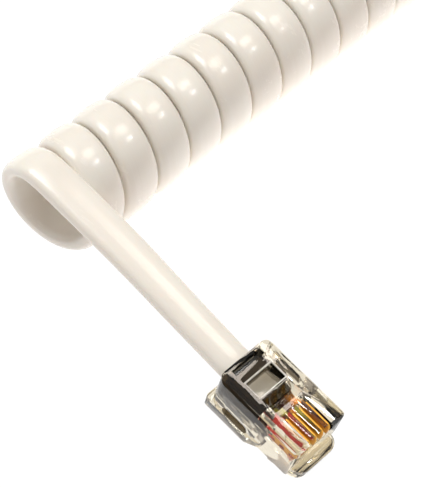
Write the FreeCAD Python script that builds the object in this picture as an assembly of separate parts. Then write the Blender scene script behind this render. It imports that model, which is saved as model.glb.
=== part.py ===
import FreeCAD, Part
import math
import os

# Coiled telephone handset cord with a clear four-contact plug at each end, in millimetres.
# +Z is up and everything lies on the plane z = 0. The coil runs along X and both leads leave
# it towards -Y. The origin is the middle of the two plugs' footprint on that plane.
V = FreeCAD.Vector
OVERCUT = 1.0
# Kept short of a full round, so that every outline keeps its straight sides
ROUND_ROOM = 0.01

# Flat cord
cord_width = 4.8
cord_thickness = 2.1
edge_facet_angle = 60.0
bend_share = 0.45

# Coil
coil_outer_diameter = 13.5
turn_gap = 0.45
whole_turns = 33
stations_per_turn = 14
lead_slope = 11.0
lead_yaw = 3.0

# Plug body: y is 0 at its rear and negative towards the nose, contacts are on top
plug_width = 7.65
plug_height = 6.6
plug_length = 11.8
rear_corner_radius = 0.4
nose_corner_radius = 0.6
top_edge_chamfer = 0.25
front_chamfer = 0.35
rear_block_length = 5.6
rear_foot_length = 0.5
rear_foot_height = 1.6
front_underside_height = 1.5
underside_ramp_length = 1.8
front_draft = 0.25

# Lip below the front face, over the root of the latch
lip_width = 6.2
lip_forward = 1.1
lip_corner_radius = 1.4
lip_height = 2.1

# Cord tunnel and wire chamber
cord_axis_height = 3.35
cord_clearance = 0.2
tunnel_corner_radius = 0.6
mouth_flare = 0.3
jacket_insertion = 5.5
jacket_end_room = 0.2
wire_diameter = 0.96
wire_clearance = 0.05
wire_length = 5.45
wire_end_room = 0.1

# Contact blades and their slots
contact_count = 4
contact_pitch = 1.02
contact_thickness = 0.35
contact_side_clearance = 0.04
slot_start = 7.6
slot_front_depth = 1.8
contact_start = 8.0
contact_top_recess = 0.4
contact_front_recess = 0.2
contact_corner_radius = 0.5
contact_web_room = 0.3
tine_width = 0.7
tine_point = 0.25
tine_depth = 0.8
tine_inset = 0.45

# Strain relief bars and the openings above them
rear_slot_width = 4.3
rear_slot_length = 0.75
rear_slot_offset = 0.45
jacket_window_width = 3.9
jacket_window_length = 2.1
jacket_window_offset = 2.45
jacket_bar_rear_height = 0.45
jacket_bar_front_height = 1.0
wire_window_width = 4.0
wire_window_length = 1.15
wire_window_offset = 5.75
wire_window_ramp = 0.75
wire_window_ramp_depth = 1.2
wire_bar_rear_height = 1.3
wire_bar_front_height = 0.7
wire_bar_saddle = 0.1
bar_clearance = 0.05

# Shallow recess in each side of the rear block
side_recess_length = 3.6
side_recess_height = 1.3
side_recess_depth = 0.35
side_recess_offset = 1.9
side_recess_axis_height = 2.1

# Latch tab, hinged under the nose
knuckle_radius = 0.5
knuckle_clearance = 0.05
knuckle_forward = 0.5
knuckle_height = 1.05
latch_angle = 15.0
latch_thickness = 0.75
latch_length = 12.2
latch_width = 3.25
latch_tip_length = 1.8
latch_ramp_length = 0.9
latch_tip_drop = 0.5
shoulder_width = 6.0
shoulder_length = 4.0
shoulder_drop = 0.6
latch_channel_clearance = 0.3
latch_channel_height = 1.15

# Where the plugs lie, as places of their tunnel mouths seen from the ends of the coil
plug_a_shift = -1.5
plug_a_reach = 31.2
plug_b_shift = 1.9
plug_b_reach = 35.0

# Straight runs of the leads at the coil and at the plug, before their bends
lead_a_coil_run = 8.5
lead_a_plug_run = 11.2
lead_b_coil_run = 9.0
lead_b_plug_run = 13.2

# Heights and places that follow from the sizes above
coil_mean_radius = (coil_outer_diameter - cord_thickness) / 2
coil_axis_height = coil_outer_diameter / 2
coil_pitch = cord_width + turn_gap
near_angle = -math.radians(lead_slope)
far_angle = 2 * math.pi * whole_turns + math.pi
end_advance = coil_mean_radius * math.tan(math.radians(lead_yaw))
end_easing = 1 - end_advance * 2 * math.pi / coil_pitch
tunnel_width = cord_width + 2 * cord_clearance
tunnel_height = cord_thickness + 2 * cord_clearance
tunnel_roof = cord_axis_height + tunnel_height / 2
tunnel_end = -(jacket_insertion + jacket_end_room)
jacket_top = cord_axis_height + cord_thickness / 2
wire_top = cord_axis_height + wire_diameter / 2
wire_end = -(jacket_insertion + wire_length)
chamber_end = wire_end - wire_end_room
chamber_half_width = contact_pitch * (contact_count - 1) / 2 + wire_diameter / 2 + wire_clearance
slot_floor = plug_height - slot_front_depth
hinge_y = -(plug_length + knuckle_forward)


def box(x0, x1, y0, y1, z0, z1):
    """Box between two opposite corners."""
    return Part.makeBox(x1 - x0, y1 - y0, z1 - z0, V(x0, y0, z0))


def bar_x(radius, y, z, width):
    """Round bar along X, centred on x = 0."""
    return Part.makeCylinder(radius, width, V(-width / 2, y, z), V(1, 0, 0))


def side_prism(outline, width):
    """Prism of a closed (y, z) outline, centred on x = 0."""
    points = [V(-width / 2, y, z) for y, z in outline]
    face = Part.Face(Part.makePolygon(points + points[:1]))
    return face.extrude(V(width, 0, 0))


def rounded_outline(width, height, radius):
    """Wire of a rectangle with round corners in the XY plane, centred on the origin."""
    x = width / 2
    y = height / 2
    k = radius * (1 - math.sqrt(0.5))
    corners = [(x, y, 1, 1), (-x, y, -1, 1), (-x, -y, -1, -1), (x, -y, 1, -1)]
    edges = []
    last = None
    first = None
    for cx, cy, sx, sy in corners:
        on_side = V(cx, cy - sy * radius, 0)
        middle = V(cx - sx * k, cy - sy * k, 0)
        on_top = V(cx - sx * radius, cy, 0)
        start, end = (on_side, on_top) if sx * sy > 0 else (on_top, on_side)
        if last is None:
            first = start
        else:
            edges.append(Part.LineSegment(last, start).toShape())
        edges.append(Part.Arc(start, middle, end).toShape())
        last = end
    edges.append(Part.LineSegment(last, first).toShape())
    return Part.Wire(edges)


def rounded_bar(width, height, radius, length):
    """Bar of that section, from the XY plane along +Z."""
    return Part.Face(rounded_outline(width, height, radius)).extrude(V(0, 0, length))


def contact_x(index):
    """X place of one of the four contacts and wires."""
    return (index - (contact_count - 1) / 2) * contact_pitch


# Cord section with two flat sides, and edges of three facets that reach the full width
def cord_corners():
    radius = cord_thickness / 2
    side_reach = radius * math.cos(math.radians(90 - edge_facet_angle))
    corners = []
    for side in (1, -1):
        for step in range(4):
            angle = math.radians(90 - step * edge_facet_angle)
            across = cord_width / 2 - side_reach + radius * math.cos(angle)
            corners.append((side * across, side * radius * math.sin(angle)))
    return corners


def cord_section(centre, across, outward):
    corners = [centre + across * u + outward * v for u, v in cord_corners()]
    return Part.makePolygon(corners + corners[:1])


# Left-handed helix, counted from the top: over the far side, down, and up the near side
def coil_outward(angle):
    return V(0, math.sin(angle), math.cos(angle))


def ease(turns):
    """Share of the pitch by which the cord lags, this many turns from an end of the coil."""
    return end_easing * turns * (1 - turns) ** 2 if 0 < turns < 1 else 0


def coil_point(angle):
    turns = angle / (2 * math.pi)
    turns -= ease((angle - near_angle) / (2 * math.pi))
    turns += ease((far_angle - angle) / (2 * math.pi))
    axis_point = V(coil_pitch * turns, 0, coil_axis_height)
    return axis_point + coil_outward(angle) * coil_mean_radius


def coil_end_direction(angle):
    direction = V(end_advance, coil_mean_radius * math.cos(angle),
                  -coil_mean_radius * math.sin(angle))
    direction.normalize()
    return direction


def coil_end(angle, sign):
    """Centre and direction of the face in which the coil meets a lead, one cord width out."""
    direction = coil_end_direction(angle) * sign
    return coil_point(angle) + direction * cord_width, direction


# The sections are joined by flat strips, so that the wide side stays along the coil's axis
def make_coil():
    sections = []
    near_across = coil_end_direction(near_angle).cross(coil_outward(near_angle))
    far_across = coil_end_direction(far_angle).cross(coil_outward(far_angle))
    near_centre = coil_end(near_angle, -1)[0]
    far_centre = coil_end(far_angle, 1)[0]
    sections.append(cord_section(near_centre, near_across, coil_outward(near_angle)))
    turns = (far_angle - near_angle) / (2 * math.pi)
    count = math.ceil(turns * stations_per_turn)
    for step in range(count + 1):
        angle = near_angle + (far_angle - near_angle) * step / count
        sections.append(cord_section(coil_point(angle), V(1, 0, 0), coil_outward(angle)))
    sections.append(cord_section(far_centre, far_across, coil_outward(far_angle)))
    report_coil_gap(sections[1:-1])
    print("coil turns", round(turns, 2), "length of cord in the coil",
          round(turns * math.hypot(2 * math.pi * coil_mean_radius, coil_pitch), 1))
    return Part.makeLoft(sections, True, True)


def report_coil_gap(sections):
    """Prints the least distance between points of the coil that lie about one turn apart."""
    rows = [[vertex.Point for vertex in section.Vertexes] for section in sections]
    least = coil_pitch
    first = stations_per_turn - 2
    for start in range(stations_per_turn):
        for other in range(start + first, start + first + 5):
            for point in rows[start]:
                for target in rows[other]:
                    least = min(least, point.distanceToPoint(target))
    print("least gap between turns", round(least, 3))


# Lead: straight runs joined by tangent arcs, swept from the plug towards the coil
def lead_path(points, name):
    edges = []
    start = points[0]
    radii = []
    for before, corner, after in zip(points, points[1:], points[2:]):
        back = before - corner
        ahead = after - corner
        trim = bend_share * min(back.Length, ahead.Length)
        back.normalize()
        ahead.normalize()
        half_turn = (math.pi - back.getAngle(ahead)) / 2
        radius = trim / math.tan(half_turn)
        radii.append(round(radius, 1))
        bisector = back + ahead
        bisector.normalize()
        centre = corner + bisector * (radius / math.cos(half_turn))
        arc_start = corner + back * trim
        arc_end = corner + ahead * trim
        edges.append(Part.LineSegment(start, arc_start).toShape())
        edges.append(Part.Arc(arc_start, centre - bisector * radius, arc_end).toShape())
        start = arc_end
    edges.append(Part.LineSegment(start, points[-1]).toShape())
    runs = [round((b - a).Length, 1) for a, b in zip(points, points[1:])]
    print(name, "runs", runs, "bend radii", radii)
    print(name, "route", [tuple(round(c, 2) for c in point) for point in points])
    return Part.Wire(edges)


def make_lead(points, outward, name):
    """Flat cord along the points, first point in the plug and last point at the coil."""
    direction = points[1] - points[0]
    direction.normalize()
    across = outward.cross(direction)
    profile = rounded_outline(cord_width, cord_thickness, cord_thickness / 2 - ROUND_ROOM)
    matrix = FreeCAD.Matrix(across.x, outward.x, direction.x, points[0].x,
                            across.y, outward.y, direction.y, points[0].y,
                            across.z, outward.z, direction.z, points[0].z)
    profile.Placement = FreeCAD.Placement(matrix)
    return lead_path(points, name).makePipeShell([profile], True, False)


# Clear body of a plug
def make_housing():
    front = -plug_length
    outline = [
        (0, 0),
        (0, plug_height),
        (front + front_chamfer, plug_height),
        (front, plug_height - front_chamfer),
        (front + front_draft, front_underside_height),
        (-rear_block_length - underside_ramp_length, front_underside_height),
        (-rear_block_length, 0),
    ]
    body = side_prism(outline, plug_width)

    # Round upright corners, tighter at the rear than at the nose
    rear = rounded_bar(plug_width, plug_length, rear_corner_radius, plug_height)
    rear.translate(V(0, -plug_length / 2, 0))
    body = body.common(rear)
    nose_length = plug_length + OVERCUT
    nose = rounded_bar(plug_width, nose_length, nose_corner_radius, plug_height)
    nose.translate(V(0, front + nose_length / 2, 0))
    body = body.common(nose)

    # Foot below the tunnel mouth
    foot_length = rear_foot_length + rear_block_length
    foot = rounded_bar(plug_width, foot_length, rear_corner_radius, rear_foot_height)
    foot.translate(V(0, rear_foot_length - foot_length / 2, 0))
    body = body.fuse(foot)

    # Lip with round corners
    lip_length = lip_forward + 2 * lip_corner_radius
    lip = rounded_bar(lip_width, lip_length, lip_corner_radius, lip_height - front_underside_height)
    lip.translate(V(0, front - lip_forward + lip_length / 2, front_underside_height))
    body = body.fuse(lip).removeSplitter()

    # Chamfered long edges of the contact side
    half = plug_width / 2
    for side in (1, -1):
        edge = [(half, plug_height - top_edge_chamfer), (half - top_edge_chamfer, plug_height),
                (half + OVERCUT, plug_height + OVERCUT)]
        points = [V(side * x, OVERCUT, z) for x, z in edge]
        wedge = Part.Face(Part.makePolygon(points + points[:1]))
        body = body.cut(wedge.extrude(V(0, -plug_length - 2 * OVERCUT, 0)))

    body = body.cut(make_cord_tunnel())
    body = body.cut(box(-chamber_half_width, chamber_half_width, chamber_end, tunnel_end + OVERCUT / 2,
                        cord_axis_height - wire_diameter / 2 - wire_clearance, wire_top + wire_clearance))
    for opening in make_top_openings():
        body = body.cut(opening)

    # Shallow oblong recess in each side
    recess = rounded_bar(side_recess_length, side_recess_height,
                         side_recess_height / 2 - ROUND_ROOM, side_recess_depth + OVERCUT)
    recess.rotate(V(0, 0, 0), V(0, 0, 1), 90)
    recess.rotate(V(0, 0, 0), V(0, 1, 0), 90)
    recess.translate(V(half - side_recess_depth, -side_recess_offset - side_recess_length / 2,
                       side_recess_axis_height))
    body = body.cut(recess)
    body = body.cut(recess.mirror(V(0, 0, 0), V(1, 0, 0)))

    # Seat over the latch knuckle, and the channel that the pressed latch dips into
    body = body.cut(bar_x(knuckle_radius + knuckle_clearance, hinge_y, knuckle_height,
                          plug_width + 2 * OVERCUT))
    channel = latch_width / 2 + latch_channel_clearance
    body = body.cut(box(-channel, channel, -rear_block_length - underside_ramp_length, OVERCUT,
                        -OVERCUT, latch_channel_height))
    return body


def make_cord_tunnel():
    """Rounded tunnel along the cord's axis with a flared mouth."""
    tunnel = rounded_bar(tunnel_width, tunnel_height, tunnel_corner_radius, -tunnel_end + OVERCUT)
    tunnel.translate(V(0, 0, -OVERCUT))
    wide = rounded_outline(tunnel_width + 2 * mouth_flare, tunnel_height + 2 * mouth_flare,
                           tunnel_corner_radius + mouth_flare)
    narrow = rounded_outline(tunnel_width, tunnel_height, tunnel_corner_radius)
    narrow.translate(V(0, 0, mouth_flare))
    tunnel = tunnel.fuse(Part.makeLoft([wide, narrow], True, True))
    tunnel.rotate(V(0, 0, 0), V(1, 0, 0), 90)
    tunnel.translate(V(0, 0, cord_axis_height))
    return tunnel


def make_top_openings():
    """Openings in the contact side: rear slot, two bar windows and four contact slots."""
    above = plug_height + OVERCUT
    half = rear_slot_width / 2
    openings = [box(-half, half, -rear_slot_offset - rear_slot_length, -rear_slot_offset,
                    cord_axis_height, above)]
    half = jacket_window_width / 2
    openings.append(box(-half, half, -jacket_window_offset - jacket_window_length,
                        -jacket_window_offset, cord_axis_height, above))
    ramp_foot = plug_height - wire_window_ramp_depth
    openings.append(side_prism([
        (-wire_window_offset + wire_window_ramp, above),
        (-wire_window_offset + wire_window_ramp, plug_height),
        (-wire_window_offset, ramp_foot),
        (-wire_window_offset, cord_axis_height),
        (-wire_window_offset - wire_window_length, cord_axis_height),
        (-wire_window_offset - wire_window_length, above),
    ], wire_window_width))
    half = contact_thickness / 2 + contact_side_clearance
    for index in range(contact_count):
        x = contact_x(index)
        openings.append(box(x - half, x + half, chamber_end, -slot_start, wire_top, above))
        openings.append(box(x - half, x + half, -plug_length - OVERCUT, -slot_start,
                            slot_floor, above))
    return openings


# Brass blade with two tines that stand in its wire, its front foot on the floor of the slot
def make_contact():
    top = plug_height - contact_top_recess
    web = wire_top + contact_web_room
    front = -plug_length + contact_front_recess
    rear = -contact_start
    foot = chamber_end + wire_end_room / 2
    tip = wire_top - tine_depth
    tines = [rear - tine_inset, foot + tine_inset + tine_width]
    outline = [(front, slot_floor), (front, top), (rear, top), (rear, web)]
    for start in tines:
        outline.append((start, web))
        outline.append((start, tip + tine_point))
        outline.append((start - tine_width / 2, tip))
        outline.append((start - tine_width, tip + tine_point))
        outline.append((start - tine_width, web))
    outline.append((foot, web))
    outline.append((foot, slot_floor))
    blade = side_prism(outline, contact_thickness)
    r = contact_corner_radius
    corner = box(-contact_thickness, contact_thickness, front - OVERCUT, front + r, top - r,
                 top + OVERCUT)
    corner = corner.cut(bar_x(r, front + r, top - r, 2 * contact_thickness))
    return blade.cut(corner)


def make_wire():
    """Insulated wire from the end of the jacket to the end of the chamber."""
    return Part.makeCylinder(wire_diameter / 2, wire_length, V(0, -jacket_insertion, cord_axis_height),
                             V(0, -1, 0))


# Bar that presses on the jacket, its rear face against its window
def make_jacket_clamp():
    rear = -jacket_window_offset
    front = rear - jacket_window_length + bar_clearance
    return side_prism([
        (rear, jacket_top),
        (rear, jacket_top + jacket_bar_rear_height),
        (front, jacket_top + jacket_bar_front_height),
        (front, jacket_top),
    ], jacket_window_width - 2 * bar_clearance)


# Bar that presses on the four wires, grooved for them
def make_wire_clamp():
    rear = -wire_window_offset
    front = rear - wire_window_length + bar_clearance
    foot = wire_top - wire_bar_saddle
    bar = side_prism([
        (rear, foot),
        (rear, foot + wire_bar_rear_height),
        (front, foot + wire_bar_front_height),
        (front, foot),
    ], wire_window_width - 2 * bar_clearance)
    for index in range(contact_count):
        groove = make_wire()
        groove.translate(V(contact_x(index), 0, 0))
        bar = bar.cut(groove)
    return bar


# Latch tab, drawn level along +Y from its knuckle and then turned down to its rest angle
def make_latch():
    top = latch_thickness / 2
    tab = side_prism([
        (0, top),
        (latch_length, top),
        (latch_length, -latch_tip_drop),
        (latch_length - latch_tip_length, -latch_tip_drop),
        (latch_length - latch_tip_length - latch_ramp_length, -top),
        (0, -top),
    ], latch_width)
    shoulder = side_prism([
        (0, top),
        (shoulder_length, top),
        (shoulder_length, -shoulder_drop),
        (0, -knuckle_radius),
    ], shoulder_width)
    latch = tab.fuse(shoulder).fuse(bar_x(knuckle_radius, 0, 0, shoulder_width)).removeSplitter()
    plan = rounded_bar(shoulder_width, 2 * latch_length, lip_corner_radius, 2 * OVERCUT)
    plan.translate(V(0, latch_length - knuckle_radius, -OVERCUT))
    latch = latch.common(plan)
    latch.rotate(V(0, 0, 0), V(1, 0, 0), -latch_angle)
    latch.translate(V(0, hinge_y, knuckle_height))
    return latch


# Level on which a plug rests on its latch: tip and shoulder, or tip and knuckle
def latch_stance():
    """Tilt in radians that levels the plug's lowest points, and the height it lifts y = z = 0."""
    angle = math.radians(latch_angle)
    tip_y = latch_length * math.cos(angle) - latch_tip_drop * math.sin(angle)
    tip_z = -latch_length * math.sin(angle) - latch_tip_drop * math.cos(angle)
    step_y = shoulder_length * math.cos(angle) - shoulder_drop * math.sin(angle)
    step_z = -shoulder_length * math.sin(angle) - shoulder_drop * math.cos(angle)
    on_step = math.atan2(step_z - tip_z, tip_y - step_y)
    on_knuckle = math.atan2(-tip_z, tip_y) - math.asin(knuckle_radius / math.hypot(tip_y, tip_z))
    tilt = min(on_step, on_knuckle)
    tip_y += hinge_y
    tip_z += knuckle_height
    lift = -(tip_y * math.sin(tilt) + tip_z * math.cos(tilt))
    return tilt, lift


def make_plug(name, wire_names):
    """All pieces of one plug in the plug's own frame, wires named from left to right."""
    pieces = {}
    pieces[name + "_housing"] = make_housing()
    pieces[name + "_latch"] = make_latch()
    pieces[name + "_jacket_clamp"] = make_jacket_clamp()
    pieces[name + "_wire_clamp"] = make_wire_clamp()
    for index, wire_name in enumerate(wire_names):
        place = V(contact_x(index), 0, 0)
        contact = make_contact()
        contact.translate(place)
        wire = make_wire()
        wire.translate(place)
        pieces[name + "_contact_" + str(index + 1)] = contact
        pieces[name + "_wire_" + wire_name] = wire.cut(contact)
    return pieces


def place_shape(shape, placement):
    """Copy of the shape with the placement applied to its geometry."""
    moved = shape.copy()
    moved.Placement = placement.multiply(moved.Placement)
    return moved


# Near plug: contacts up, resting on its latch. Far plug: contacts down, flat on the plane
tilt, lift = latch_stance()
mouth = V(0, 0, cord_axis_height)
near_turn = FreeCAD.Rotation(V(1, 0, 0), math.degrees(tilt))
near_mouth = near_turn.multVec(mouth)
near_place = FreeCAD.Placement(
    V(plug_a_shift, -plug_a_reach - near_mouth.y, lift), near_turn)
far_turn = FreeCAD.Rotation(V(0, 1, 0), 180)
far_start = coil_point(far_angle)
far_place = FreeCAD.Placement(
    V(far_start.x + plug_b_shift, -plug_b_reach, plug_height), far_turn)

nodes = {}
for piece_name, shape in make_plug("plug_a", ["red", "green", "black", "yellow"]).items():
    nodes[piece_name] = place_shape(shape, near_place)
for piece_name, shape in make_plug("plug_b", ["yellow", "black", "green", "red"]).items():
    nodes[piece_name] = place_shape(shape, far_place)

# Origin in the middle of the plugs' footprint
footprint = FreeCAD.BoundBox()
for shape in nodes.values():
    footprint.add(shape.optimalBoundingBox(False))
origin = V(footprint.Center.x, footprint.Center.y, 0)


def lead_points(place, coil_run, plug_run, angle, sign):
    """Route of a lead: jacket end, bend near the plug, bend near the coil, coil end."""
    jacket_end = place.multVec(V(0, -jacket_insertion, cord_axis_height))
    plug_bend = place.multVec(V(0, plug_run - jacket_insertion, cord_axis_height))
    coil_face, direction = coil_end(angle, sign)
    return [jacket_end, plug_bend, coil_face + direction * coil_run, coil_face]


nodes["cord_coil"] = make_coil()
near_route = lead_points(near_place, lead_a_coil_run, lead_a_plug_run, near_angle, -1)
far_route = lead_points(far_place, lead_b_coil_run, lead_b_plug_run, far_angle, 1)
nodes["cord_lead_a"] = make_lead([p - origin for p in near_route],
                                 near_place.Rotation.multVec(V(0, 0, 1)), "lead_a")
nodes["cord_lead_b"] = make_lead([p - origin for p in far_route],
                                 far_place.Rotation.multVec(V(0, 0, 1)), "lead_b")

os.makedirs("parts", exist_ok=True)
for node_name, shape in nodes.items():
    if not node_name.startswith("cord_lead"):
        shape.translate(-origin)
    if shape.ShapeType == "Compound" and len(shape.Solids) == 1:
        shape = shape.Solids[0]
    if len(shape.Solids) != 1 or not shape.isValid():
        print("check", node_name, len(shape.Solids), shape.isValid())
    shape.exportStep("parts/" + node_name + ".step")
print("nodes", len(nodes), "tilt", round(math.degrees(tilt), 2), "lift", round(lift, 3))
print("origin in the coil's frame", tuple(round(c, 3) for c in origin))
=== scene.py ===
import math

import bmesh
import bpy
from mathutils import Matrix, Vector


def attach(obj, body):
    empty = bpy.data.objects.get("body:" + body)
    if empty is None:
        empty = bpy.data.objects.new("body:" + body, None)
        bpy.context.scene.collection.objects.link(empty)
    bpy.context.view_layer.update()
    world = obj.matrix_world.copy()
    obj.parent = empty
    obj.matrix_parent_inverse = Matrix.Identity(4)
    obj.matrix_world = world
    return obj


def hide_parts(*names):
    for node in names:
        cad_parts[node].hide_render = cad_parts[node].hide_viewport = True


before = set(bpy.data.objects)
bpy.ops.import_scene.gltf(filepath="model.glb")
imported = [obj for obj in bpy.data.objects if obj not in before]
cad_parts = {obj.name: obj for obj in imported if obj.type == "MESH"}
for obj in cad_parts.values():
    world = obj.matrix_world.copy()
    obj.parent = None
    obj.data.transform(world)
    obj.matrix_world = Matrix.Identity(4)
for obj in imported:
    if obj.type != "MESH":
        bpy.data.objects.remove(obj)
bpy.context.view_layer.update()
scene = bpy.context.scene
scene.view_settings.view_transform = "Standard"


# Camera, where the photographer stood: above and to the left of the near plug, with a long
# lens, looking along the coil.
view_azimuth = math.radians(-45.94)
view_elevation = math.radians(49.02)
view_distance = 0.2149
view_target = Vector((-0.0783, 0.02152, 0.006))
picture_height_pixels = 488
focal_length_pixels = 1909.5
sensor_height = 24.0
nearest_seen = 0.01


def add_object(name, data):
    """New object of that data in the scene."""
    made = bpy.data.objects.new(name, data)
    scene.collection.objects.link(made)
    return made


back = Vector((math.sin(view_azimuth) * math.cos(view_elevation),
               -math.cos(view_azimuth) * math.cos(view_elevation),
               math.sin(view_elevation)))
camera_data = bpy.data.cameras.new("camera")
camera_data.sensor_fit = "VERTICAL"
camera_data.sensor_height = sensor_height
camera_data.lens = focal_length_pixels / picture_height_pixels * sensor_height
camera_data.clip_start = nearest_seen
camera = add_object("camera", camera_data)
camera.location = view_target + back * view_distance
camera.rotation_euler = back.to_track_quat("Z", "Y").to_euler()
scene.camera = camera


# Cord. A flat jacket of ivory vinyl over four wires lying side by side, wound on a rod while
# warm, so that it keeps its curl. One length runs from plug to plug: lead, coil, lead.
MM = 0.001
TURN = 2 * math.pi
cord_width = 4.8 * MM
cord_thickness = 2.1 * MM
section_points = 44
section_squareness = 2.7
wire_pitch = 1.02 * MM
valley_depth = 0.035 * MM
valley_width = 0.3 * MM
coil_radius = 5.7 * MM
coil_pitch = 5.25 * MM
coil_turns = 33.5
coil_start = Vector((-88.138, 38.894, 6.75)) * MM
start_angle = math.radians(-11.0)
end_easing = 0.643
first_turn_shift = 0.35 * MM
first_turn_share = 0.4
stations_per_turn = 16
points_per_station = 3
near_lead = [(-89.44, 2.36, 4.62), (-89.20, 13.22, 7.45), (-88.40, 24.77, 9.90),
             (-88.10, 33.10, 11.43)]
far_lead = [(87.99, 34.10, 1.05), (88.46, 25.11, 1.05), (89.64, 11.59, 3.25),
            (89.64, -1.61, 3.25)]
near_outward = [(0, -0.247, 0.969), (0, -0.247, 0.969), (0, -0.14, 0.99), (0, -0.14, 0.99)]
far_outward = [(0, 0, -1)] * 4
lead_run = 36.0 * MM
lead_width_share = 0.87
lead_thickness_share = 1.06


def eased(turns):
    """Part of a turn by which the winding lags, this many turns from an end of the coil."""
    return end_easing * turns * (1 - turns) ** 2 if 0 < turns < 1 else 0


def cord_route():
    """Control points of the cord's line, and beside each the way its flat side faces."""
    route = [Vector(p) * MM for p in near_lead]
    facing = [Vector(p) for p in near_outward]
    end_angle = coil_turns * TURN
    steps = math.ceil((end_angle - start_angle) / TURN * stations_per_turn)
    step = (end_angle - start_angle) / steps
    for index in range(steps):
        angle = start_angle + (index + 0.5) * step
        outward = Vector((0, math.sin(angle), math.cos(angle)))
        from_start = (angle - start_angle) / TURN
        turns = angle / TURN - eased(from_start) + eased((end_angle - angle) / TURN)
        shift = first_turn_shift * max(0, 1 - from_start / first_turn_share)
        along = Vector((coil_pitch * turns + shift, 0, 0))
        route.append(coil_start + along + outward * coil_radius / math.cos(step / 2))
        facing.append(outward)
    route += [Vector(p) * MM for p in far_lead]
    facing += [Vector(p) for p in far_outward]
    return route, facing


def plain_mesh(holder):
    """Plain mesh of what an object shows, which takes the object's place."""
    seen = holder.evaluated_get(bpy.context.evaluated_depsgraph_get())
    made = bpy.data.meshes.new_from_object(seen)
    bpy.data.objects.remove(holder)
    return made


def spline_points(name, points):
    """Points read from a smooth line with those control points."""
    curve = bpy.data.curves.new(name, "CURVE")
    curve.dimensions = "3D"
    curve.resolution_u = points_per_station
    spline = curve.splines.new("NURBS")
    spline.points.add(len(points) - 1)
    for control, point in zip(spline.points, points):
        control.co = (*point, 1.0)
    spline.order_u = 3
    spline.use_endpoint_u = True
    line = plain_mesh(add_object(name, curve))
    found = [vertex.co.copy() for vertex in line.vertices]
    bpy.data.meshes.remove(line)
    return found


def jacket_section():
    """Crowned flat oval with a shallow valley between each two wires: (across, outward) pairs."""
    section = []
    for index in range(section_points):
        angle = TURN * (index + 0.5) / section_points
        across, outward = (math.copysign(abs(part) ** (2 / section_squareness), part)
                           for part in (math.cos(angle), math.sin(angle)))
        dip = sum(math.exp(-((across * cord_width / 2 - k * wire_pitch) / valley_width) ** 2)
                  for k in (-1, 0, 1))
        height = cord_thickness / 2 * abs(outward) - valley_depth * dip * abs(outward)
        section.append((across * cord_width / 2, math.copysign(height, -outward)))
    return section


def sweep(name, line, facing, section):
    """Closed tube of the section along the line, with a UV map in metres along and around.

    Towards both ends of the line the section eases from the coil's size to the leads'.
    """
    mesh = bpy.data.meshes.new(name)
    count = len(section)
    points = []
    lengths = [0.0]
    for before, after in zip(line, line[1:]):
        lengths.append(lengths[-1] + (after - before).length)
    for index, centre in enumerate(line):
        before = line[max(index - 1, 0)]
        after = line[min(index + 1, len(line) - 1)]
        direction = (after - before).normalized()
        across = direction.cross(facing[index]).normalized()
        outward = across.cross(direction)
        run = min(lengths[index], lengths[-1] - lengths[index], lead_run) / lead_run
        wound = run * run * (3 - 2 * run)
        across *= lead_width_share + (1 - lead_width_share) * wound
        outward *= lead_thickness_share + (1 - lead_thickness_share) * wound
        points += [centre + across * u + outward * v for u, v in section]
    faces = []
    for ring in range(len(line) - 1):
        for k in range(count):
            a = ring * count + k
            b = ring * count + (k + 1) % count
            faces.append((a, b, b + count, a + count))
    faces.append(tuple(reversed(range(count))))
    faces.append(tuple(range(len(points) - count, len(points))))
    mesh.from_pydata(points, [], faces)
    around = [0.0]
    for (u, v), (u2, v2) in zip(section, section[1:] + section[:1]):
        around.append(around[-1] + math.hypot(u2 - u, v2 - v))
    uv = mesh.uv_layers.new(name="along").data
    for face in mesh.polygons[:-2]:
        ring, k = divmod(face.index, count)
        corners = [(ring, k), (ring, k + 1), (ring + 1, k + 1), (ring + 1, k)]
        for loop, (r, c) in zip(face.loop_indices, corners):
            uv[loop].uv = (lengths[r], around[c])
        face.use_smooth = True
    return mesh


def node(tree, kind, inputs=None, **settings):
    """New node whose inputs, by name or number, are set to values or linked to sockets."""
    made = tree.nodes.new(kind)
    for key, value in settings.items():
        setattr(made, key, value)
    for key, value in (inputs or {}).items():
        if isinstance(value, bpy.types.NodeSocket):
            tree.links.new(value, made.inputs[key])
        else:
            made.inputs[key].default_value = value
    return made


def maths(tree, operation, *inputs, clamp=False):
    """What a math node makes of those values or sockets."""
    return node(tree, "ShaderNodeMath", dict(enumerate(inputs)), operation=operation,
                use_clamp=clamp).outputs[0]


def ranged(tree, value, low, high, from_low=0.0, from_high=1.0):
    """The value carried from one range to another and held at its ends."""
    return node(tree, "ShaderNodeMapRange",
                {"Value": value, "From Min": from_low, "From Max": from_high,
                 "To Min": low, "To Max": high}).outputs["Result"]


def blended(tree, share, first, second):
    """Colour that goes by a share from the first to the second."""
    return node(tree, "ShaderNodeMix", {0: share, 6: first, 7: second},
                data_type="RGBA").outputs[2]


def noise(tree, place, scale, detail, roughness=0.5):
    """Strength of a noise pattern at that place."""
    return node(tree, "ShaderNodeTexNoise", {"Vector": place, "Scale": scale, "Detail": detail,
                                             "Roughness": roughness}).outputs["Fac"]


def add_sockets(group, direction, sockets):
    """Named sockets of a node group, each with its kind and default value."""
    for name, kind, value in sockets:
        socket = group.interface.new_socket(name, in_out=direction, socket_type="NodeSocket" + kind)
        if value is not None:
            socket.default_value = value


scuff_lie = (0.3, 0.5, 0.7)
scuff_stretch = (1.0, 0.06, 1.0)
scuff_from, scuff_to = 0.56, 0.72
patch_from, patch_to = 0.42, 0.62
wave_share = 3.0
scuff_cut = -0.6


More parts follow.
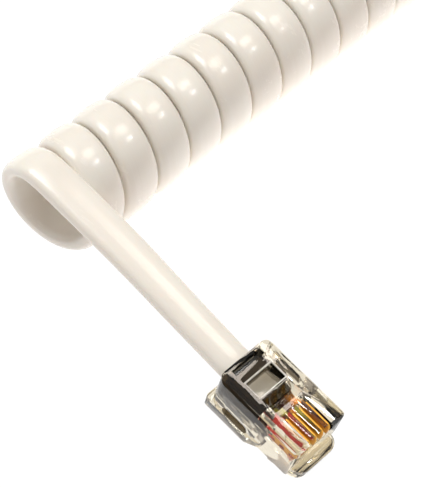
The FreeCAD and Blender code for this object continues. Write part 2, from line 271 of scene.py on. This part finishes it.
def make_handled_skin():
    """Node group: slow waves, fine grain and hairline scuffs of a surface that is handled."""
    group = bpy.data.node_groups.new("handled_skin", "ShaderNodeTree")
    add_sockets(group, "INPUT", [("Place", "Vector", None), ("Grain Scale", "Float", 2500.0),
                                 ("Wave Scale", "Float", 150.0), ("Scuff Scale", "Float", 900.0)])
    add_sockets(group, "OUTPUT", [("Height", "Float", None), ("Scuff", "Float", None),
                                  ("Mottle", "Float", None)])
    given = group.nodes.new("NodeGroupInput").outputs
    grain = noise(group, given["Place"], given["Grain Scale"], detail=2.0)
    wave = noise(group, given["Place"], given["Wave Scale"], detail=1.0)
    stretched = node(group, "ShaderNodeMapping", {"Vector": given["Place"], "Rotation": scuff_lie,
                                                  "Scale": scuff_stretch}).outputs["Vector"]
    hair = noise(group, stretched, given["Scuff Scale"], detail=5.0, roughness=0.7)
    lines = ranged(group, hair, 0.0, 1.0, scuff_from, scuff_to)
    patches = ranged(group, wave, 0.0, 1.0, patch_from, patch_to)
    scuff = maths(group, "MULTIPLY", lines, patches)
    height = maths(group, "MULTIPLY_ADD", wave, wave_share, grain)
    height = maths(group, "MULTIPLY_ADD", scuff, scuff_cut, height)
    node(group, "NodeGroupOutput", {"Height": height, "Scuff": scuff, "Mottle": patches})
    return group


handled_skin = make_handled_skin()


def start_material(name, constants):
    """New material: its tree, its Principled shader with those constants, its place vectors."""
    material = bpy.data.materials.new(name)
    material.use_nodes = True
    tree = material.node_tree
    shader = tree.nodes["Principled BSDF"]
    for socket, value in constants.items():
        shader.inputs[socket].default_value = value
    return material, tree, shader, tree.nodes.new("ShaderNodeTexCoord").outputs


def skin_on(tree, place, grain_scale, wave_scale, scuff_scale):
    """The shared skin in a material, at this material's own scales."""
    return node(tree, "ShaderNodeGroup", {"Place": place["Object"], "Grain Scale": grain_scale,
                                          "Wave Scale": wave_scale, "Scuff Scale": scuff_scale},
                node_tree=handled_skin).outputs


def raise_surface(tree, shader, height, depth):
    """Bump of that height, this deep, on the shader."""
    bump = node(tree, "ShaderNodeBump", {"Height": height, "Strength": 1.0, "Distance": depth})
    tree.links.new(bump.outputs["Normal"], shader.inputs["Normal"])


ivory = (0.89, 0.855, 0.785, 1)
warm_ivory = (0.86, 0.79, 0.71, 1)
vinyl = {"IOR": 1.53, "Subsurface Weight": 0.12, "Subsurface Radius": (1.0, 0.75, 0.5),
         "Subsurface Scale": 1.0 * MM}
streak_scale = (40.0, 5200.0, 1.0)
streak_from, streak_to = 0.35, 0.75
streak_tone = 0.25
mottle_tone = 0.4
satin_roughness = 0.19
streak_roughness = 0.08
scuff_roughness = 0.2
streak_height = 0.2
jacket_relief = 0.006 * MM


def jacket_vinyl():
    """Satin ivory vinyl with drawn lines along the cord and faint warm stains."""
    material, tree, shader, place = start_material("ivory_jacket", vinyl)
    skin = skin_on(tree, place, grain_scale=2200.0, wave_scale=140.0, scuff_scale=500.0)
    drawn = node(tree, "ShaderNodeMapping", {"Vector": place["UV"], "Scale": streak_scale})
    lines = noise(tree, drawn.outputs["Vector"], scale=1.0, detail=3.0)
    streak = ranged(tree, lines, 0.0, 1.0, streak_from, streak_to)
    tone = maths(tree, "MULTIPLY", streak, streak_tone)
    tone = maths(tree, "MULTIPLY_ADD", skin["Mottle"], mottle_tone, tone)
    tree.links.new(blended(tree, tone, ivory, warm_ivory), shader.inputs["Base Color"])
    gloss = maths(tree, "MULTIPLY_ADD", streak, streak_roughness, satin_roughness)
    gloss = maths(tree, "MULTIPLY_ADD", skin["Scuff"], scuff_roughness, gloss)
    tree.links.new(gloss, shader.inputs["Roughness"])
    height = maths(tree, "MULTIPLY_ADD", lines, streak_height, skin["Height"])
    raise_surface(tree, shader, height, jacket_relief)
    return material


def add_piece(name, mesh, material, body):
    """Object at the origin with that mesh and finish, riding on the body."""
    mesh.materials.clear()
    mesh.materials.append(material)
    piece = add_object(name, mesh)
    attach(piece, body)
    return piece


route, facing = cord_route()
middle_line = spline_points("cord_line", route)
facing_line = spline_points("cord_facing", [p + f * MM for p, f in zip(route, facing)])
outwards = [(f - p).normalized() for p, f in zip(middle_line, facing_line)]
cord = add_piece("cord", sweep("cord", middle_line, outwards, jacket_section()), jacket_vinyl(),
                 "root")
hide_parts("cord_coil", "cord_lead_a", "cord_lead_b")


# Housings, one at each end of the cord. Each is moulded in one shot from clear polycarbonate,
# with windows over its clamp bars and four slots for its blades, and is crimped on the cord.
# Lengths and boxes are in millimetres of the plug's own frame unless they say otherwise.
near_plug_lean = math.radians(14.302)
plug_places = {
    "a": (Matrix.Translation(Vector((-89.638, 8.5215, 2.6696)) * MM)
          @ Matrix.Rotation(near_plug_lean, 4, "X")),
    "b": Matrix.Translation(Vector((89.637, 3.894, 6.6)) * MM) @ Matrix.Rotation(math.pi, 4, "Y"),
}
half_width = 3.825
rear_rounding = 1.1
rear_rounding_points = 8
rounding_foot = 1.7
above_plug = 7.0
past_plug = 0.3
edge_rounding = 0.07 * MM
rim_rounding = 0.16 * MM
bevel_steps = 2
same_point = 0.0005 * MM
flat_angle = math.radians(1.0)
sharp_angle = math.radians(35.0)
window_box = ((-2.0, -4.6, 6.5), (2.0, -2.4, 6.7))


def finished_mesh(name, work):
    """Mesh of the finished work."""
    mesh = bpy.data.meshes.new(name)
    work.to_mesh(mesh)
    work.free()
    return mesh


def corner_wedges(place):
    """Object that fills what lies outside the round upright corners at a plug's rear."""
    work = bmesh.new()
    for side in (1, -1):
        outline = [(half_width + past_plug, past_plug), (half_width + past_plug, -rear_rounding)]
        for index in range(rear_rounding_points):
            angle = math.radians(90 * index / (rear_rounding_points - 1))
            outline.append((half_width - rear_rounding * (1 - math.cos(angle)),
                            -rear_rounding * (1 - math.sin(angle))))
        outline.append((half_width - rear_rounding, past_plug))
        corners = [work.verts.new((side * x, y, rounding_foot)) for x, y in outline]
        grown = bmesh.ops.extrude_face_region(work, geom=[work.faces.new(corners)])
        moved = [item for item in grown["geom"] if isinstance(item, bmesh.types.BMVert)]
        bmesh.ops.translate(work, verts=moved, vec=(0, 0, above_plug - rounding_foot))
    bmesh.ops.recalc_face_normals(work, faces=work.faces)
    bmesh.ops.transform(work, matrix=place @ Matrix.Scale(MM, 4), verts=work.verts)
    return add_object("corner_wedges", finished_mesh("corner_wedges", work))


def inside(spot, low, high):
    """Whether a place in millimetres lies in a box."""
    return all(a < c < b for a, c, b in zip(low, spot, high))


def rounded_copy(node_name, rounding, cutter=None, place=None):
    """Mesh of a CAD solid with the small round edges that its mould leaves.

    A cutter is taken away first. With a place, the window's rim there is rounded more.
    """
    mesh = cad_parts[node_name].data.copy()
    work = bmesh.new()
    work.from_mesh(mesh)
    bmesh.ops.remove_doubles(work, verts=work.verts, dist=same_point)
    bmesh.ops.dissolve_limit(work, angle_limit=flat_angle, verts=work.verts, edges=work.edges)
    if place:
        into_plug = place.inverted()
        weight = work.edges.layers.float.new("bevel_weight_edge")
        for edge in work.edges:
            edge[weight] = float(all(inside(into_plug @ corner.co / MM, *window_box)
                                     for corner in edge.verts))
    work.to_mesh(mesh)
    work.free()
    for face in mesh.polygons:
        face.use_smooth = True
    holder = add_object(node_name + "_rounded", mesh)
    if place:
        rim = holder.modifiers.new("rim", "BEVEL")
        rim.width = rim_rounding
        rim.segments = bevel_steps
        rim.limit_method = "WEIGHT"
    if cutter:
        cut = holder.modifiers.new("cut", "BOOLEAN")
        cut.operation = "DIFFERENCE"
        cut.object = cutter
    bevel = holder.modifiers.new("rounding", "BEVEL")
    bevel.width = rounding
    bevel.segments = bevel_steps
    bevel.limit_method = "ANGLE"
    bevel.angle_limit = sharp_angle
    bevel.harden_normals = True
    return plain_mesh(holder)


def scuff_surface(tree, shader, skin, roughness, depth):
    """Roughness from plain to scuffed places, and the skin's relief, this deep."""
    tree.links.new(ranged(tree, skin["Scuff"], *roughness), shader.inputs["Roughness"])
    raise_surface(tree, shader, skin["Height"], depth)


polycarbonate_ior = 1.585
pressed_ior = 1.05
clear_tint = (0.82, 0.75, 0.60, 1)
# The cavity, roof and slot tints are painted shade: near-black clear plastic that darkens the
# housing's hollows, the tunnel's roof and the rear slot where shadow falls.
cavity_shade_tint = (0.020, 0.013, 0.006, 1)
roof_shade_tint = (0.012, 0.008, 0.004, 1)
slot_shade_tint = (0.0010, 0.0008, 0.0005, 1)
shadow_tint = (0.93, 0.92, 0.88, 1)
body_roughness = (0.03, 0.12)
cavity_roughness = (0.12, 0.25)
slot_roughness = (0.1, 0.2)
pressed_roughness = (0.05, 0.15)
plastic_relief = 0.004 * MM


def clear_plastic(name, tint, roughness, ior=polycarbonate_ior):
    """Clear moulded plastic that lets the lamps through to what it encloses."""
    material, tree, shader, place = start_material(name, {"Base Color": tint, "IOR": ior,
                                                          "Transmission Weight": 1.0})
    skin = skin_on(tree, place, grain_scale=1800.0, wave_scale=260.0, scuff_scale=1500.0)
    scuff_surface(tree, shader, skin, roughness, plastic_relief)
    through = node(tree, "ShaderNodeBsdfTransparent", {"Color": shadow_tint})
    path = tree.nodes.new("ShaderNodeLightPath")
    mixed = node(tree, "ShaderNodeMixShader", {0: path.outputs["Is Shadow Ray"],
                                               1: shader.outputs["BSDF"],
                                               2: through.outputs["BSDF"]})
    tree.links.new(mixed.outputs["Shader"], tree.nodes["Material Output"].inputs["Surface"])
    return material


# Painted highlight: the window's rim gets an opaque pale finish for the light that its edge
# catches.
rim_highlight_white = (0.92, 0.89, 0.83, 1)
rim_highlight_grey = (0.75, 0.71, 0.63, 1)
rim_roughness = (0.3, 0.6)


def highlight_rim():
    """Opaque pale plastic on the window's rim: a painted highlight for the light its edge catches,
    mottled at random.
    """
    material, tree, shader, place = start_material("highlight_rim", {})
    skin = skin_on(tree, place, grain_scale=5000.0, wave_scale=900.0, scuff_scale=3000.0)
    colour = blended(tree, skin["Mottle"], rim_highlight_white, rim_highlight_grey)
    tree.links.new(colour, shader.inputs["Base Color"])
    scuff_surface(tree, shader, skin, rim_roughness, plastic_relief)
    return material


def mark_faces(mesh, place, boxes, material):
    """Gives the faces whose middles lie in those boxes of the plug their own finish."""
    mesh.materials.append(material)
    into_plug = place.inverted()
    for face in mesh.polygons:
        spot = into_plug @ face.center / MM
        if any(inside(spot, low, high) for low, high in boxes):
            face.material_index = len(mesh.materials) - 1


clear_body = clear_plastic("clear_body", clear_tint, body_roughness)
# Painted shade: the next three finishes are near-black glass standing for shadow in the hollows.
shaded_cavity = clear_plastic("shaded_cavity", cavity_shade_tint, cavity_roughness)
shaded_tunnel_roof = clear_plastic("shaded_tunnel_roof", roof_shade_tint, cavity_roughness, pressed_ior)
shaded_slot = clear_plastic("shaded_slot", slot_shade_tint, slot_roughness, pressed_ior)
pressed_slot = clear_plastic("pressed_slot", clear_tint, pressed_roughness, pressed_ior)
# Boxes round the walls that have a finish of their own: painted shade on the cord's tunnel and the
# recesses in the sides, darker painted shade on the tunnel's roof and the windows' left walls,
# near-black painted shade on the rear slot and the window's right wall, the slots pressed against
# the blades, and a painted highlight on the window's rim.
walls = [
    (shaded_cavity, [((-2.65, -5.75, 2.0), (2.65, -0.05, 3.6)),
                    ((-3.81, -5.6, 1.4), (-3.4, -1.8, 2.8)),
                    ((3.4, -5.6, 1.4), (3.81, -1.8, 2.8))]),
    (shaded_tunnel_roof, [((-2.65, -5.75, 3.6), (2.65, -0.05, 4.75)),
                   ((-2.0, -4.6, 3.4), (-1.9, -2.4, 6.4)),
                   ((-2.05, -7.0, 3.3), (-1.95, -5.7, 6.5))]),
    (shaded_slot, [((-2.2, -1.25, 3.3), (2.2, -0.4, 6.5)), ((1.9, -4.6, 3.4), (2.0, -2.4, 6.4))]),
    (pressed_slot, [((-1.9, -11.75, 3.9), (1.9, -7.55, 6.5))]),
    (highlight_rim(), [((-2.15, -4.75, 6.4), (2.15, -2.25, 6.596))]),
]
for end, place in plug_places.items():
    node_name = "plug_" + end + "_housing"
    wedges = corner_wedges(place)
    rounded = rounded_copy(node_name, edge_rounding, wedges, place)
    bpy.data.objects.remove(wedges)
    body = add_piece("housing_" + end, rounded, clear_body, "root")
    for finish, boxes in walls:
        mark_faces(body.data, place, boxes, finish)
    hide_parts(node_name)


# Clamp bars. A wide one presses on the jacket and a grooved one on the four wires; the crimping
# tool pushes both down out of their windows, and thin webs still hold them to the housing.
bar_tint = (0.42, 0.40, 0.37, 1)
bar_roughness = (0.12, 0.35)
bar_rounding = edge_rounding / 2
clear_bar = clear_plastic("clear_bar", bar_tint, bar_roughness)
for end in plug_places:
    for bar_name in ("jacket_clamp", "wire_clamp"):
        node_name = "plug_" + end + "_" + bar_name
        bar = add_piece(bar_name + "_" + end, rounded_copy(node_name, bar_rounding), clear_bar,
                        "root")
        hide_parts(node_name)


# Slot shade. A thin, bowed, near-black sheet low in each rear slot is painted shade: a dark sheet
# put where the slot falls into shadow.
web_half_width = 2.1
web_rear = -0.5
web_front = -1.15
web_height = 5.22
web_bow = 0.14
web_edge_flattening = 0.4
web_thickness = 0.1
web_columns = 16
web_rows = 5
slot_floor_shade_tint = (0.03, 0.03, 0.026, 1)
web_roughness = (0.25, 0.45)


def make_shade_sheet():
    """Mesh of a bowed sheet in the plug's own frame, deeper at its middle than at its sides, for
    painted shade.
    """
    work = bmesh.new()
    bmesh.ops.create_grid(work, x_segments=web_columns, y_segments=web_rows, size=1.0)
    for vertex in work.verts:
        x, y = vertex.co.x, vertex.co.y
        depth = web_bow * (1 - x ** 4) * (1 - web_edge_flattening * y * y)
        vertex.co = Vector((web_half_width * x,
                            web_front + (web_rear - web_front) * (y + 1) / 2,
                            web_height - depth)) * MM
    bmesh.ops.solidify(work, geom=work.faces, thickness=web_thickness * MM)
    bmesh.ops.recalc_face_normals(work, faces=work.faces)
    # Solidify leaves points and faces in a chance order, which this makes the same each run.
    by_place = sorted(work.verts, key=lambda vertex: tuple(vertex.co))
    by_middle = sorted(work.faces, key=lambda face: tuple(face.calc_center_median()))
    for items in (by_place, by_middle):
        for index, item in enumerate(items):
            item.index = index
    work.verts.sort()
    work.faces.sort()
    return finished_mesh("web", work)


# Painted shade: the near-black finish of the sheets in the rear slots.
slot_floor_shade = clear_plastic("slot_floor_shade", slot_floor_shade_tint, web_roughness)
for end, place in plug_places.items():
    web = make_shade_sheet()
    web.transform(place)
    add_piece("web_" + end, web, slot_floor_shade, "root")


# Latches. Each tab is moulded with its housing and joined to it under the nose by a thin hinge
# of the same plastic, which bends as the tab is pressed.
tab_roughness = (0.04, 0.15)
clear_tab = clear_plastic("clear_tab", clear_tint, tab_roughness)
for end in plug_places:
    node_name = "plug_" + end + "_latch"
    tab = add_piece("latch_" + end + "_tab", rounded_copy(node_name, edge_rounding), clear_tab,
                    "latch_" + end)
    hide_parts(node_name)


# Wires. Four copper-strand wires come out of the jacket's end, each in its own coloured skin,
# and lie side by side in the housing with their order turned round at the far plug.
wire_colours = {"red": (0.55, 0.004, 0.003, 1), "green": (0.45, 0.47, 0.04, 1),
                "black": (0.10, 0.010, 0.008, 1), "yellow": (1.0, 0.36, 0.01, 1)}
rubbed_share = 0.8
rubbed_lift = 0.05
rubbed_mottle = 0.25
wire_roughness = (0.38, 0.6)
wire_specular = 0.3


def wire_skin(colour_name, colour):
    """Coloured insulation with slightly paler rubbed places."""
    material, tree, shader, place = start_material(colour_name + "_wire_skin",
                                                   {"Specular IOR Level": wire_specular})
    skin = skin_on(tree, place, grain_scale=4000.0, wave_scale=400.0, scuff_scale=2500.0)
    rubbed = tuple(rubbed_share * c + rubbed_lift for c in colour[:3]) + (1,)
    tone = maths(tree, "MULTIPLY_ADD", skin["Mottle"], rubbed_mottle, skin["Scuff"], clamp=True)
    tree.links.new(blended(tree, tone, colour, rubbed), shader.inputs["Base Color"])
    scuff_surface(tree, shader, skin, wire_roughness, plastic_relief)
    return material


for colour_name, colour in wire_colours.items():
    skin_material = wire_skin(colour_name, colour)
    for end in plug_places:
        wire_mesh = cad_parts["plug_" + end + "_wire_" + colour_name].data
        wire_mesh.materials.clear()
        wire_mesh.materials.append(skin_material)


# Contacts. Four blades of gold-plated brass in each plug, pressed down through their slots by
# the crimping tool until the tines stand in the wires.
contact_count = 4
contact_pitch = 1.02 * MM
contact_thickness = 0.35 * MM
contact_edge = 0.03 * MM
blade_front = -11.6
blade_top = 6.2
front_corner_radius = 0.5
front_corner_points = 7
blade_outline = [(-8.0, blade_top), (-8.0, 4.13), (-8.45, 4.13), (-8.45, 3.28), (-8.8, 3.03),
                 (-9.15, 3.28), (-9.15, 4.13), (-9.85, 4.13), (-9.85, 3.28), (-10.2, 3.03),
                 (-10.55, 3.28), (-10.55, 4.13), (-11.0, 4.13), (-11.0, 4.8), (blade_front, 4.8)]
gold = (1.0, 0.57, 0.08, 1)
worn_brass = (0.88, 0.41, 0.05, 1)
gold_metallic = 0.4
wear_mottle = 0.6
metal_roughness = (0.32, 0.5)
metal_relief = 0.003 * MM


def make_blade():
    """Mesh of one blade in the plug's own frame, with its edges broken."""
    outline = list(blade_outline)
    for index in range(front_corner_points):
        angle = math.radians(180 - 90 * index / (front_corner_points - 1))
        outline.append((blade_front + front_corner_radius * (1 + math.cos(angle)),
                        blade_top - front_corner_radius * (1 - math.sin(angle))))
    work = bmesh.new()
    corners = [work.verts.new((-contact_thickness / 2, y * MM, z * MM)) for y, z in outline]
    side = work.faces.new(corners)
    grown = bmesh.ops.extrude_face_region(work, geom=[side])
    moved = [item for item in grown["geom"] if isinstance(item, bmesh.types.BMVert)]
    bmesh.ops.translate(work, verts=moved, vec=(contact_thickness, 0, 0))
    bmesh.ops.recalc_face_normals(work, faces=work.faces)
    rims = [edge for edge in work.edges
            if abs(edge.verts[0].co.x - edge.verts[1].co.x) < contact_thickness / 2]
    bmesh.ops.bevel(work, geom=rims, offset=contact_edge, segments=bevel_steps, affect="EDGES",
                    profile=0.5)
    return finished_mesh("blade", work)


def make_row_tree():
    """Geometry nodes: the piece repeated in a row, centred on its own place."""
    tree = bpy.data.node_groups.new("row_of_pieces", "GeometryNodeTree")
    add_sockets(tree, "INPUT", [("Piece", "Geometry", None), ("Count", "Int", 2),
                                ("Pitch", "Float", MM), ("Finish", "Material", None)])
    add_sockets(tree, "OUTPUT", [("Row", "Geometry", None)])
    given = tree.nodes.new("NodeGroupInput").outputs
    span = maths(tree, "MULTIPLY", maths(tree, "SUBTRACT", given["Count"], 1.0), given["Pitch"])
    start = node(tree, "ShaderNodeCombineXYZ", {"X": maths(tree, "MULTIPLY", span, -0.5)})
    step = node(tree, "ShaderNodeCombineXYZ", {"X": given["Pitch"]})
    places = node(tree, "GeometryNodeMeshLine",
                  {"Count": given["Count"], "Start Location": start.outputs[0],
                   "Offset": step.outputs[0]})
    row = node(tree, "GeometryNodeInstanceOnPoints",
               {"Points": places.outputs["Mesh"], "Instance": given["Piece"]})
    real = node(tree, "GeometryNodeRealizeInstances", {"Geometry": row.outputs["Instances"]})
    finished = node(tree, "GeometryNodeSetMaterial",
                    {"Geometry": real.outputs["Geometry"], "Material": given["Finish"]})
    node(tree, "NodeGroupOutput", {"Row": finished.outputs["Geometry"]})
    return tree


row_tree = make_row_tree()


def row_of_four(name, mesh, finish):
    """Plain mesh of the piece at each of a plug's four contacts."""
    holder = add_object(name, mesh)
    modifier = holder.modifiers.new(name, "NODES")
    modifier.node_group = row_tree
    values = {"Count": contact_count, "Pitch": contact_pitch, "Finish": finish}
    for item in row_tree.interface.items_tree:
        if item.in_out == "INPUT" and item.name in values:
            modifier[item.identifier] = values[item.name]
    return plain_mesh(holder)


def rubbed_metal(name, fresh, worn, metallic):
    """Drawn or plated metal, rubbed by the tools that cut it."""
    material, tree, shader, place = start_material(name, {"Metallic": metallic})
    skin = skin_on(tree, place, grain_scale=6000.0, wave_scale=700.0, scuff_scale=3000.0)
    tone = maths(tree, "MULTIPLY_ADD", skin["Mottle"], wear_mottle, skin["Scuff"], clamp=True)
    tree.links.new(blended(tree, tone, fresh, worn), shader.inputs["Base Color"])
    scuff_surface(tree, shader, skin, metal_roughness, metal_relief)
    return material


blade_finish = rubbed_metal("gold_plate", gold, worn_brass, gold_metallic)
for end, place in plug_places.items():
    blades = row_of_four("blades_" + end, make_blade(), blade_finish)
    blades.transform(place)
    row = add_piece("contacts_" + end, blades, blade_finish, "root")
    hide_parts(*["plug_" + end + "_contact_" + str(k + 1) for k in range(contact_count)])


# Copper strands. Each wire is cut square before it goes in, so that its seven strands end in
# the open at the nose, where they show through the clear front.
strand_radius = 0.12
strand_ring_radius = 0.25
strands_in_ring = 6
strand_sides = 12
strand_rear = -10.9
strand_front = -11.02
strand_edge = 0.02 * MM
wire_axis_height = 3.35
copper = (0.86, 0.42, 0.25, 1)
dull_copper = (0.55, 0.25, 0.14, 1)
copper_metallic = 1.0


def make_strands():
    """Mesh of the strand ends of one wire in the plug's own frame."""
    work = bmesh.new()
    angles = [TURN * k / strands_in_ring for k in range(strands_in_ring)]
    centres = [(0, 0)] + [(strand_ring_radius * math.cos(angle),
                           strand_ring_radius * math.sin(angle)) for angle in angles]
    lying = Matrix.Rotation(math.pi / 2, 4, "X")
    for x, z in centres:
        middle = Vector((x, (strand_rear + strand_front) / 2, z + wire_axis_height)) * MM
        bmesh.ops.create_cone(work, cap_ends=True, segments=strand_sides,
                              radius1=strand_radius * MM, radius2=strand_radius * MM,
                              depth=(strand_rear - strand_front) * MM,
                              matrix=Matrix.Translation(middle) @ lying)
    rims = [edge for edge in work.edges
            if abs(edge.verts[0].co.y - edge.verts[1].co.y) < strand_edge]
    bmesh.ops.bevel(work, geom=rims, offset=strand_edge, segments=bevel_steps, affect="EDGES",
                    profile=0.5)
    return finished_mesh("strands", work)


strand_finish = rubbed_metal("copper_strand", copper, dull_copper, copper_metallic)
for end, place in plug_places.items():
    strands = row_of_four("strands_" + end, make_strands(), strand_finish)
    strands.transform(place)
    add_piece("strands_" + end, strands, strand_finish, "root")


# Floor. A sheet of white paper, seen as plain white with a faint shadow. The light that it
# throws up is strongest along the front of the coil, whose lower rims are nearly white.
floor_half = 2
paper_white = {"Base Color": (0.85, 0.85, 0.84, 1), "Roughness": 0.9, "Specular IOR Level": 0.0}
seen_glow = 1.1
plain_bounce = 1.15
coil_bounce = 2.8
bright_strip_y = 0.030
bright_half_width = 0.006
faded_half_width = 0.022
faded_x = -0.088
bright_x = -0.072
bounce_colour = (1, 0.955, 0.935, 1)
white = (1, 1, 1, 1)
glow_share_thrown = 0.95
glow_share_seen = 0.85
paper, tree, shader, place = start_material("white_paper", paper_white)
path = tree.nodes.new("ShaderNodeLightPath").outputs
seen = maths(tree, "MAXIMUM", path["Is Camera Ray"], path["Is Glossy Ray"])
seen = maths(tree, "MAXIMUM", seen, path["Is Transmission Ray"])
spot = node(tree, "ShaderNodeSeparateXYZ", {0: place["Object"]}).outputs
away = maths(tree, "ABSOLUTE", maths(tree, "SUBTRACT", spot["Y"], bright_strip_y))
beside_coil = ranged(tree, away, 0.0, 1.0, faded_half_width, bright_half_width)
along_coil = ranged(tree, spot["X"], 0.0, 1.0, faded_x, bright_x)
near_coil = maths(tree, "MULTIPLY", beside_coil, along_coil)
thrown = ranged(tree, near_coil, plain_bounce, coil_bounce)
glow = node(tree, "ShaderNodeEmission", {"Color": blended(tree, seen, bounce_colour, white),
                                         "Strength": ranged(tree, seen, thrown, seen_glow)})
mixed = node(tree, "ShaderNodeMixShader",
             {0: ranged(tree, seen, glow_share_thrown, glow_share_seen),
              1: shader.outputs["BSDF"], 2: glow.outputs["Emission"]})
tree.links.new(mixed.outputs["Shader"], tree.nodes["Material Output"].inputs["Surface"])
floor_mesh = bpy.data.meshes.new("floor")
floor_mesh.from_pydata([(-floor_half, -floor_half, 0), (floor_half, -floor_half, 0),
                        (floor_half, floor_half, 0), (-floor_half, floor_half, 0)], [],
                       [(0, 1, 2, 3)])
floor_mesh.materials.append(paper)
add_object("floor", floor_mesh)


# Room. It is white where the camera sees it and dim elsewhere, darker and warmer towards the
# horizon, and brighter for what shows through the clear plastic than for what lights the cord.
warm_horizon = (1, 0.88, 0.80, 1)
pale_zenith = (1, 0.975, 0.965, 1)
low_through, high_through = 0.2, 0.8
through_from_z, through_to_z = 0.25, 0.9
low_fill, high_fill = 0.03, 0.45
fill_to_z = 0.8
mirrored_share = 0.45


def blended_value(tree, share, first, second):
    """Value that goes by a share from the first to the second."""
    return node(tree, "ShaderNodeMix", {0: share, 2: first, 3: second},
                data_type="FLOAT").outputs[0]


world = bpy.data.worlds.new("studio")
world.use_nodes = True
tree = world.node_tree
sky = tree.nodes.new("ShaderNodeTexCoord").outputs
height = node(tree, "ShaderNodeSeparateXYZ", {0: sky["Generated"]}).outputs["Z"]
path = tree.nodes.new("ShaderNodeLightPath").outputs
through = ranged(tree, height, low_through, high_through, through_from_z, through_to_z)
fill = ranged(tree, height, low_fill, high_fill, 0.0, fill_to_z)
strength = blended_value(tree, path["Is Glossy Ray"], fill,
                         maths(tree, "MULTIPLY", through, mirrored_share))
strength = blended_value(tree, path["Is Transmission Ray"], strength, through)
strength = blended_value(tree, path["Is Camera Ray"], strength, 1.0)
colour = blended(tree, height, warm_horizon, pale_zenith)
colour = blended(tree, path["Is Camera Ray"], colour, white)
tree.links.new(colour, tree.nodes["Background"].inputs["Color"])
tree.links.new(strength, tree.nodes["Background"].inputs["Strength"])
scene.world = world


# Lamps, all soft and square: a wide one from behind, one whose mirror image lies on the rear of
# the near plug, and a small one that gives the jacket its glints.
lamp_distance = 0.6
lamps = [("key", (-0.05, 0.5, 0.86), 0.3, 2.2, (0.98, 1, 0.98)),
         ("top", (0.43, 0.06, 0.90), 0.17, 0.7, (1, 0.90, 0.80)),
         ("glint", (0.49, -0.28, 0.83), 0.05, 0.3, (1, 1, 1))]
for name, direction, size, power, colour in lamps:
    lamp_data = bpy.data.lights.new(name, "AREA")
    lamp_data.size = size
    lamp_data.energy = power
    lamp_data.color = colour
    lamp = add_object(name, lamp_data)
    direction = Vector(direction).normalized()
    lamp.location = view_target + direction * lamp_distance
    lamp.rotation_euler = direction.to_track_quat("Z", "Y").to_euler()
